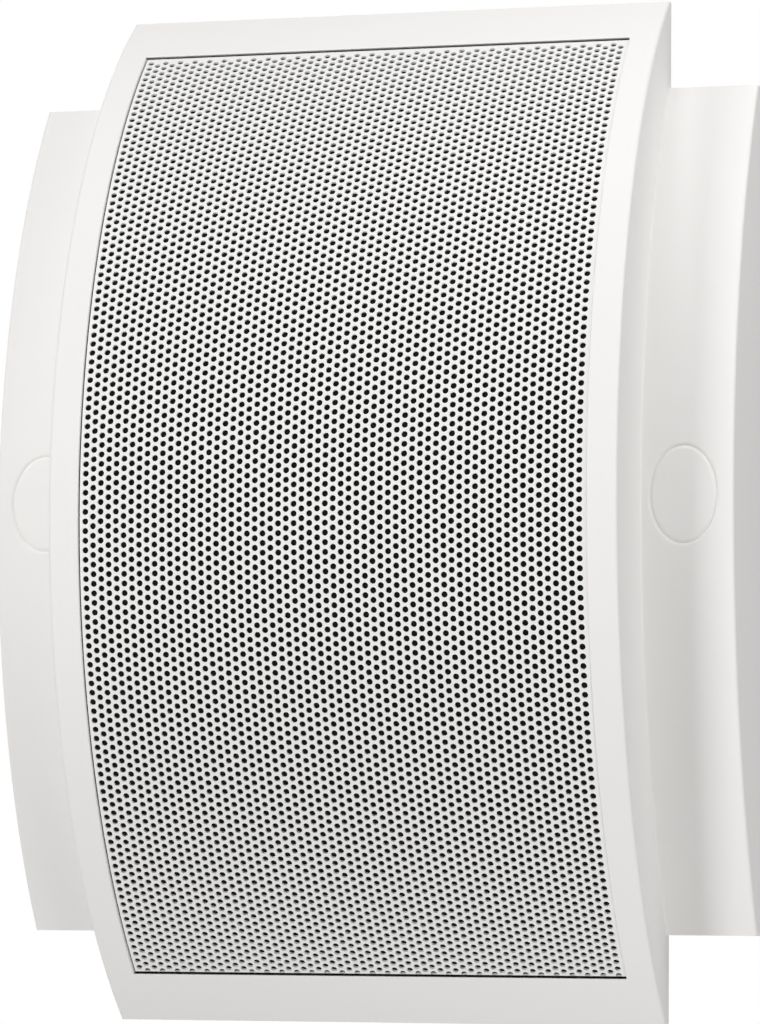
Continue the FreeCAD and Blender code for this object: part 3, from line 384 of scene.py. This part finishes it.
def oval_cap(x0):
    """Oval cap: rings of one oval, shrunk to the middle on top, rounded at the edge, then a skirt.

    The top lies on the wing's arch and falls off as a parabola at the edge, and the foot is a flat
    ring drawn in to the middle.
    """
    a = 2 * np.pi * np.arange(CAP_SIDES) / CAP_SIDES
    inset = np.concatenate([[CAP_FLAT_W], CAP_EDGE_W * (1 - CAP_EDGE_U)])
    depth = np.concatenate([np.zeros(len(CAP_TOP) + 1), CAP_EDGE_D * CAP_EDGE_U**2])
    half_w = np.concatenate([CAP_TOP * (CAP_HALF_W - CAP_FLAT_W), CAP_HALF_W - inset])[:, None]
    half_h = np.concatenate([CAP_TOP * (CAP_HALF_H - CAP_FLAT_W), CAP_HALF_H - inset])[:, None]
    x, z = x0 + half_w * np.cos(a), half_h * np.sin(a)
    y = arch_y(WING, z, depth[:, None])
    skirt = y[-1] + CAP_SKIRT * (CAP_FOOT_Y - y[-1])
    x = np.vstack([x, x[-1:], x[-1:], x0 + CAP_FOOT * CAP_HALF_W * np.cos(a)])
    z = np.vstack([z, z[-1:], z[-1:], CAP_FOOT * CAP_HALF_H * np.sin(a)])
    y = np.vstack([y, skirt, np.full((len(CAP_FOOT), CAP_SIDES), CAP_FOOT_Y)])
    rings = np.stack([x, y, z], axis=-1)
    poles = np.array([[x0, arch_y(WING, 0.0), 0.0], [x0, CAP_FOOT_Y, 0.0]])
    index = np.arange(x.size).reshape(x.shape)
    closed = np.hstack([index, index[:, :1]])
    quads = grid_faces(closed.T).reshape(-1, 4)
    first, last = closed[0], closed[-1]
    top = np.stack([np.full(CAP_SIDES, x.size), first[:-1], first[1:]], axis=1)
    bottom = np.stack([np.full(CAP_SIDES, x.size + 1), last[1:], last[:-1]], axis=1)
    return np.concatenate([rings.reshape(-1, 3), poles]), (quads, top, bottom)


def on_sheet(x, s, depth):
    """Point of the rolled sheet: x across, s along the arc from the crown, depth below its front."""
    centre, radius = BODY
    r = radius - SHEET_IN
    a = s / r
    return np.stack([x, centre - (r - depth) * np.cos(a), (r - depth) * np.sin(a)], axis=-1)


def punched_half(half):
    """Half of the perforated sheet, punched with staggered columns of round holes.

    Every hole is a twelve-sided ring of points about (column x step, row x step), the odd columns
    half a step lower, and the lowest are cut off near the sheet's end. Facing sides of neighbouring
    holes are joined by quads, and the space between three holes is a hexagon. The outline of that
    web is joined to the sheet's straight edges. The back is the same web turned round, and rings
    and rim are joined through.
    """
    count = COLUMNS // 2
    c, j = np.meshgrid(np.arange(count), np.arange(ROWS), indexing="ij")
    odd = c % 2
    x = (c + half * count - (COLUMNS - 1) / 2) * COLUMN_STEP
    s = PATTERN_UP + ROW_STEP * (j - ROWS // 2 - odd / 2)
    a = 2 * np.pi * (np.arange(HOLE_SIDES) + 0.5) / HOLE_SIDES
    hx = x[..., None] + HOLE_R * np.cos(a)
    end = (BODY[1] - SHEET_IN) * np.arcsin(SHEET_HALF_H / (BODY[1] - SHEET_IN))
    hs = np.maximum(s[..., None] + HOLE_R * np.sin(a), EDGE_WEB - end)
    number = (c * ROWS + j) * HOLE_SIDES

    def at(dc, dj, corner):
        """Number of a corner of the hole dc columns and dj rows away."""
        return number + (dc * ROWS + dj) * HOLE_SIDES + corner

    up, down = j + 1 - odd < ROWS, j - odd >= 0
    right, left = c + 1 < count, c > 0
    hi, lo = 1 - odd, -odd
    joins = (
        (j + 1 < ROWS, [at(0, 0, 3), at(0, 0, 2), at(0, 1, 9), at(0, 1, 8)]),
        (right & up, [at(0, 0, 0), at(1, hi, 7), at(1, hi, 6), at(0, 0, 1)]),
        (right & down, [at(0, 0, 10), at(1, lo, 5), at(1, lo, 4), at(0, 0, 11)]),
    )
    gaps = (
        (right & up & down,
         [at(0, 0, 11), at(1, lo, 4), at(1, lo, 3), at(1, hi, 8), at(1, hi, 7), at(0, 0, 0)]),
        (left & up & down,
         [at(0, 0, 6), at(0, 0, 5), at(-1, hi, 10), at(-1, hi, 9), at(-1, lo, 2), at(-1, lo, 1)]),
    )
    quads = np.concatenate([np.stack(k, axis=-1)[ok] for ok, k in joins])
    hexes = np.concatenate([np.stack(k, axis=-1)[ok] for ok, k in gaps])

    # Outline of the web, anticlockwise, as four runs of point numbers. Every second column stands out.
    out_low, in_low = np.array([5, 6, 7, 8, 9, 10, 11, 0]), np.arange(7, 11)
    out_high, in_high = np.array([11, 0, 1, 2, 3, 4, 5, 6]), np.arange(1, 5)
    bottom = [number[k, 0] + (out_low if k % 2 else in_low) for k in range(count)]
    bottom[0], bottom[-1] = number[0, 0] + np.arange(9, 11), number[-1, 0] + np.arange(5, 9)
    top = [number[k, -1] + (in_high if k % 2 else out_high) for k in range(count)]
    top[0], top[-1] = number[0, -1] + out_high[:4], number[-1, -1] + np.arange(3, 5)
    rise = (number[-1][:, None] + np.array([9, 10, 11, 0, 1, 2])).ravel()
    fall = (number[0][::-1, None] + np.arange(3, 9)).ravel()
    bottom, top = np.concatenate(bottom), np.concatenate(top[::-1])

    # Straight edges: one point per outline point, nearly opposite it, and the corners.
    x0, x1 = (SHEET_LEFT, 0.0) if half == 0 else (0.0, SHEET_RIGHT)
    hs_flat, hx_flat = hs.ravel(), hx.ravel()

    def spread(run):
        """x of the points opposite a run: its own, drawn a little way to even steps."""
        run_x = hx_flat[run]
        return (1 - EDGE_EVEN) * run_x + EDGE_EVEN * np.linspace(run_x[0], run_x[-1], len(run))

    edge_x = [spread(bottom), np.full(len(rise) + 2, x1), spread(top), np.full(len(fall) + 2, x0)]
    low_s, high_s = np.full(len(bottom) + 1, -end), np.full(len(top) + 2, end)
    edge_s = [low_s, hs_flat[rise], high_s, hs_flat[fall], [-end]]
    chain = np.concatenate([bottom, rise, top, fall])
    edge = number.size * HOLE_SIDES + np.arange(len(chain) + 4)
    runs = np.cumsum([len(bottom), len(rise), len(top), len(fall)])
    corner = runs + np.arange(4)
    straight = np.delete(edge, corner)
    turns = runs - 1
    strip = np.stack([straight, np.roll(straight, -1), np.roll(chain, -1), chain], axis=1)
    bends = np.stack([straight, straight, np.roll(straight, -1), np.roll(chain, -1), chain], axis=1)[turns]
    bends[:, 1] = edge[corner]
    strip = np.delete(strip, turns, axis=0)

    flat_x, flat_s = np.concatenate([hx_flat, *edge_x]), np.concatenate([hs_flat, *edge_s])
    front = on_sheet(flat_x, flat_s, 0.0)
    back = on_sheet(flat_x, flat_s, SHEET_T)
    total = len(flat_x)
    ring = number.reshape(-1, 1) + np.arange(HOLE_SIDES)
    ring_next = np.roll(ring, -1, axis=1)
    bore = np.stack([ring, ring_next, ring_next + total, ring + total], axis=-1).reshape(-1, 4)
    rim = np.stack([np.roll(edge, -1), edge, edge + total, np.roll(edge, -1) + total], axis=1)
    faces = [quads, hexes, strip, bends]
    faces += [f[:, ::-1] + total for f in faces] + [bore, rim]
    return np.concatenate([front, back]), faces


def backing_cloth():
    """Cloth that fills the window under the sheet: a grid over x and arc length, thickened inwards.

    Returns its points, faces, flat coordinates, and its flat size in metres.
    """
    half_w = WINDOW_HALF_W - CLOTH_PLAY
    radius = BODY[1] - SHEET_IN
    half_s = radius * np.arcsin((WINDOW_HALF_H - CLOTH_PLAY) / (radius - SHEET_T))
    x, s = np.meshgrid(np.linspace(-half_w, half_w, CLOTH_COLUMNS), np.linspace(-half_s, half_s, CLOTH_ROWS))
    outer, inner = on_sheet(x, s, SHEET_T), on_sheet(x, s, SHEET_T + CLOTH_T)
    index = np.arange(x.size).reshape(x.shape)
    quads, no_tris = grid_faces(index).reshape(-1, 4), np.zeros((0, 3), dtype=int)
    points, faces = thicken(outer.reshape(-1, 3), inner.reshape(-1, 3), quads, no_tris)
    flat = np.stack([x.ravel(), s.ravel()], axis=1)
    return points, faces, np.concatenate([flat, flat]), (2 * half_w * MM, 2 * half_s * MM)


def linear(hex_colour):
    """Linear RGBA of an sRGB hex value."""
    c = np.array([int(hex_colour[i:i + 2], 16) for i in (1, 3, 5)]) / 255
    c = np.where(c <= 0.04045, c / 12.92, ((c + 0.055) / 1.055) ** 2.4)
    return (*c.tolist(), 1.0)


def add_node(tree, kind, props=None, values=None, links=None):
    """Adds a node with its properties, input values and incoming links."""
    node = tree.nodes.new(kind)
    for key, value in (props or {}).items():
        setattr(node, key, value)
    for key, value in (values or {}).items():
        node.inputs[key].default_value = value
    for key, socket in (links or {}).items():
        tree.links.new(socket, node.inputs[key])
    return node


def per_mm(size):
    """Texture scale, in metres, of a pattern that repeats every size millimetres."""
    return 1 / (size * MM)


def new_material(name):
    """Material with an empty node tree."""
    material = bpy.data.materials.new(name)
    material.use_nodes = True
    tree = material.node_tree
    tree.nodes.clear()
    return material, tree


def grained(name, colours, rough, blotch, grain, bump, metallic=0.0, stretch=(1, 1, 1)):
    """Material of two close colours in soft blotches, with a fine grain that roughens and dents it.

    blotch and grain are sizes in millimetres, bump the grain's depth, stretch draws the grain out.
    """
    material, tree = new_material(name)
    place = add_node(tree, "ShaderNodeTexCoord").outputs["Object"]
    drawn = add_node(tree, "ShaderNodeMapping", values={"Scale": stretch}, links={"Vector": place})
    large = add_node(
        tree, "ShaderNodeTexNoise", values={"Scale": per_mm(blotch), "Detail": 3.0}, links={"Vector": place}
    )
    fine = add_node(
        tree, "ShaderNodeTexNoise", values={"Scale": per_mm(grain), "Detail": 2.0},
        links={"Vector": drawn.outputs["Vector"]},
    )
    tint = add_node(tree, "ShaderNodeMix", {"data_type": "RGBA"}, links={"Factor": large.outputs["Fac"]})
    tint.inputs["A"].default_value = linear(colours[0])
    tint.inputs["B"].default_value = linear(colours[1])
    sheen = add_node(
        tree, "ShaderNodeMapRange", values={"To Min": rough[0], "To Max": rough[1]},
        links={"Value": fine.outputs["Fac"]},
    )
    dents = add_node(
        tree, "ShaderNodeBump", values={"Strength": 1.0, "Distance": bump * MM},
        links={"Height": fine.outputs["Fac"]},
    )
    shader = add_node(
        tree, "ShaderNodeBsdfPrincipled", values={"Metallic": metallic, "IOR": 1.5},
        links={"Base Color": tint.outputs["Result"], "Roughness": sheen.outputs["Result"],
               "Normal": dents.outputs["Normal"]},
    )
    add_node(tree, "ShaderNodeOutputMaterial", links={"Surface": shader.outputs["BSDF"]})
    return material


def woven(name, colours, rough, thread, bump, coords):
    """Plain weave: two sets of rounded threads at right angles.

    A thread and the gap beside it are each about thread millimetres wide. The threads run along the
    flat sheet's own coordinates, or along X and Z of the object's.
    """
    material, tree = new_material(name)
    place = add_node(tree, "ShaderNodeTexCoord").outputs[coords]
    size = {"Scale": per_mm(thread) * WAVE_SCALE}
    across = "Y" if coords == "UV" else "Z"
    warp = add_node(tree, "ShaderNodeTexWave", {"bands_direction": "X"}, size, {"Vector": place})
    weft = add_node(tree, "ShaderNodeTexWave", {"bands_direction": across}, size, {"Vector": place})
    knot = add_node(
        tree, "ShaderNodeMath", {"operation": "MULTIPLY"},
        links={0: warp.outputs["Fac"], 1: weft.outputs["Fac"]},
    )
    tint = add_node(tree, "ShaderNodeMix", {"data_type": "RGBA"}, links={"Factor": knot.outputs["Value"]})
    tint.inputs["A"].default_value = linear(colours[0])
    tint.inputs["B"].default_value = linear(colours[1])
    dents = add_node(
        tree, "ShaderNodeBump", values={"Distance": bump * MM}, links={"Height": knot.outputs["Value"]}
    )
    shader = add_node(
        tree, "ShaderNodeBsdfPrincipled", values={"Roughness": rough, "Specular IOR Level": 0.15},
        links={"Base Color": tint.outputs["Result"], "Normal": dents.outputs["Normal"]},
    )
    add_node(tree, "ShaderNodeOutputMaterial", links={"Surface": shader.outputs["BSDF"]})
    return material


# White ABS, injection moulded in a finely eroded mould: an even matt skin with hardly any sheen.
white_abs = grained("moulded_white_abs", ("#f3f2f1", "#efeeed"), (0.64, 0.76), 70, 0.9, 0.012)
# Steel sheet, punched and powder coated white: slightly smoother, with a faint orange peel.
powder_coat = grained("powder_coated_steel", ("#f1f1f0", "#ededec"), (0.58, 0.68), 50, 1.4, 0.01)
# Black polyester cloth, woven: dull and dark; the threads are drawn coarse enough to show.
black_cloth = woven("woven_black_polyester", ("#0b0b0c", "#1c1c1e"), 0.9, 0.6, 0.12, "UV")

finishes = {
    "white_abs": white_abs,
    "white_powder_coat": powder_coat,
    "black_cloth": black_cloth,
    # ABS moulded in light grey, unseen when the part hangs: plain matt back.
    "grey_abs": grained("moulded_grey_abs", ("#e3e4e4", "#dcdddd"), (0.45, 0.6), 60, 0.9, 0.015),
    # Zinc plated steel screws: bright with a bluish film.
    "zinc_steel": grained("zinc_plated_steel", ("#c9cdd2", "#b7bbc0"), (0.22, 0.38), 6, 0.5, 0.004, 1.0),
    # Moulded rubber: black, dull, slightly dusty.
    "black_rubber": grained("moulded_black_rubber", ("#17171a", "#222225"), (0.6, 0.75), 15, 0.7, 0.01),
    # Hardboard painted black: fibres show through the paint.
    "black_board": grained(
        "painted_hardboard", ("#1b1b1d", "#262628"), (0.6, 0.8), 30, 1.2, 0.03, stretch=(1, 1, 0.3)
    ),
    # Pressed steel basket under black stove paint: semi gloss.
    "black_paint": grained("stoved_black_paint", ("#101012", "#19191b"), (0.28, 0.4), 30, 1.6, 0.01),
    # Closed-cell foam, cut to a ring: dull, with fine pits where cells are cut open.
    "foam": grained("cut_black_foam", ("#1d1d20", "#2c2c30"), (0.85, 0.95), 8, 0.8, 0.15),
    # Pressed paper pulp: dark fibres and a felt-like surface.
    "cone_paper": grained(
        "pressed_paper_pulp", ("#232220", "#33312d"), (0.8, 0.92), 9, 0.7, 0.05, stretch=(1, 1, 2.5)
    ),
    # Resin-stiffened cotton disc: yellowish open weave.
    "spider_cloth": woven("resined_cotton", ("#a37b3a", "#c9a25c"), 0.85, 0.6, 0.1, "Object"),
    # Rolled aluminium foil: bare and bright.
    "bare_aluminium": grained(
        "rolled_aluminium", ("#d5d6d8", "#c8c9cb"), (0.25, 0.4), 8, 0.4, 0.004, 1.0, stretch=(1, 6, 1)
    ),
    # Enamelled copper wire, wound: each turn shows as a fine ring.
    "copper_wire": grained(
        "enamelled_copper", ("#b4602c", "#9a4c20"), (0.25, 0.4), 5, 0.35, 0.06, 1.0, stretch=(0.1, 3, 0.1)
    ),
    # Sintered barium ferrite: charcoal grey, granular.
    "ferrite": grained("sintered_ferrite", ("#3a3a3c", "#47474a"), (0.5, 0.7), 12, 0.6, 0.02),
    # Paper-filled phenolic sheet: brown, smooth.
    "phenolic": grained("phenolic_sheet", ("#7a4a20", "#8b5728"), (0.35, 0.5), 10, 0.6, 0.01),
    # Tinned brass: pale yellow metal.
    "brass": grained("tinned_brass", ("#cfc59a", "#bfb382"), (0.25, 0.4), 4, 0.4, 0.004, 1.0),
    # Stacked silicon steel sheets, varnished: fine layers along the stack.
    "core_steel": grained(
        "stacked_silicon_steel", ("#5b5854", "#6d6862"), (0.4, 0.6), 8, 0.7, 0.1, 0.7, stretch=(0.05, 0.05, 1)
    ),
    # Glass-filled nylon: dark grey, waxy.
    "bobbin_nylon": grained("moulded_dark_nylon", ("#5a5a5c", "#525254"), (0.35, 0.5), 12, 0.8, 0.008),
    # Polyester film tape wound over the coil: glossy yellow.
    "coil_tape": grained(
        "wound_polyester_tape", ("#d9b43a", "#cda52c"), (0.15, 0.3), 10, 2.0, 0.03, stretch=(0.1, 1, 0.1)
    ),
    # Nylon terminal block: white, waxy.
    "block_nylon": grained("moulded_white_nylon", ("#eeeeea", "#e5e5e0"), (0.35, 0.5), 12, 0.8, 0.008),
    # PVC insulation on the inner wires: red, smooth.
    "lead_pvc": grained("extruded_pvc", ("#bc4540", "#b23e3a"), (0.35, 0.5), 10, 0.9, 0.01),
}

# Pieces that stand for CAD nodes.
points, faces = cabinet_shell()
add_piece(put_mesh("cabinet_moulding", points, *faces), white_abs, "white_abs", "cabinet")
for name, half in (("grille_left_half", 0), ("grille_right_half", 1)):
    points, faces = punched_half(half)
    add_piece(put_mesh(name, points, *faces), powder_coat, "white_powder_coat", "grille")
for name, side, node in (("oval_cap_left", -1, "screw_cap_left"), ("oval_cap_right", 1, "screw_cap_right")):
    points, faces = oval_cap(side * CAP_X)
    add_piece(put_mesh(name, points, *faces), white_abs, "white_abs", node)
points, faces, flat_uv, flat_size = backing_cloth()
cloth_mesh = put_mesh("backing_cloth", points, *faces)
uv_layer = cloth_mesh.uv_layers.new(name="flat")
corner_of = np.empty(len(cloth_mesh.loops), dtype=np.int32)
cloth_mesh.loops.foreach_get("vertex_index", corner_of)
uv_layer.data.foreach_set("uv", (flat_uv[corner_of] * MM).astype(np.float32).ravel())
cloth = add_piece(cloth_mesh, black_cloth, "black_cloth", "grille_cloth")

# Every CAD node that stays takes the finish of its slot in the record.
for part in frame["record"]["subparts"]:
    node = frame["nodes"][part["node"]]
    node.data.materials.clear()
    node.data.materials.append(finishes[part["material_slot"]])

# Camera where the photograph was taken from.
scene = bpy.context.scene
lens = bpy.data.cameras.new("camera")
lens.sensor_width = SENSOR
lens.lens = LENS
lens.clip_end = FAR_CLIP
camera = bpy.data.objects.new("camera", lens)
scene.collection.objects.link(camera)
aim = Vector(CAMERA_AIM).to_track_quat("-Z", "Y").to_matrix()
camera.matrix_world = (aim @ Matrix.Rotation(np.radians(CAMERA_ROLL), 3, "Z")).to_4x4()
camera.location = Vector(CAMERA_AT) * MM
scene.camera = camera


def background_rays(tree):
    """Socket that is 1 for the rays that show the background: to the camera, mirrored or through glass."""
    path = add_node(tree, "ShaderNodeLightPath")
    seen = add_node(
        tree, "ShaderNodeMath", {"operation": "MAXIMUM"},
        links={0: path.outputs["Is Camera Ray"], 1: path.outputs["Is Glossy Ray"]},
    )
    seen = add_node(
        tree, "ShaderNodeMath", {"operation": "MAXIMUM"},
        links={0: seen.outputs["Value"], 1: path.outputs["Is Transmission Ray"]},
    )
    return seen.outputs["Value"]


# Soft studio light: a dim even room that looks white, a large lamp above the front, one low on the left,
# two small ones close by on the right, and one behind for the back.
world = bpy.data.worlds.new("studio")
world.use_nodes = True
scene.world = world
tree = world.node_tree
tree.nodes.clear()
glow = add_node(tree, "ShaderNodeBackground", values={"Color": ROOM_COLOUR, "Strength": ROOM_GLOW})
white = add_node(tree, "ShaderNodeBackground", values={"Color": WHITE, "Strength": 1.0})
room = add_node(
    tree, "ShaderNodeMixShader",
    links={0: background_rays(tree), 1: glow.outputs["Background"], 2: white.outputs["Background"]},
)
add_node(tree, "ShaderNodeOutputWorld", links={"Surface": room.outputs["Shader"]})


def softbox(name, place, size, power):
    """Square lamp at a place in metres, turned to the part, with its power in watts."""
    light = bpy.data.lights.new(name, "AREA")
    light.shape = "SQUARE"
    light.size = size
    light.energy = power
    lamp = bpy.data.objects.new(name, light)
    scene.collection.objects.link(lamp)
    lamp.location = place
    lamp.rotation_euler = (-Vector(place)).to_track_quat("-Z", "Y").to_euler()


softbox("softbox_top", (0.0, -0.9, 1.7), 1.0, 14.9)
softbox("softbox_low_left", (-0.8, -1.4, -0.25), 0.5, 11.7)
softbox("softbox_low_right", (0.42, -0.29, -0.44), 0.3, 1.0)
softbox("softbox_right", (0.45, -0.2, 0.35), 0.3, 0.95)
softbox("softbox_back", (-0.6, 1.6, 0.5), 1.0, 21.0)

# Pale floor well below the part, which hangs, so that a view from below is clear too.
corners = FLOOR_HALF_W * np.array([[-1, -1], [1, -1], [1, 1], [-1, 1]])
floor_points = np.column_stack([corners, np.full(len(corners), FLOOR_Z)])
floor_mesh = put_mesh("floor", floor_points, np.array([[0, 1, 2, 3]]))
floor_paint, tree = new_material("matt_white_paint")
share = add_node(
    tree, "ShaderNodeMath", {"operation": "MULTIPLY"}, values={1: FLOOR_WHITE},
    links={0: background_rays(tree)},
)
paint = add_node(tree, "ShaderNodeBsdfDiffuse", values={"Color": linear("#f4f4f4")})
white = add_node(tree, "ShaderNodeEmission", values={"Color": WHITE, "Strength": 1.0})
mixed = add_node(
    tree, "ShaderNodeMixShader",
    links={0: share.outputs["Value"], 1: paint.outputs["BSDF"], 2: white.outputs["Emission"]},
)
add_node(tree, "ShaderNodeOutputMaterial", links={"Surface": mixed.outputs["Shader"]})
floor_mesh.materials.append(floor_paint)
floor = bpy.data.objects.new("floor", floor_mesh)
scene.collection.objects.link(floor)

scene.view_settings.view_transform = "Standard"
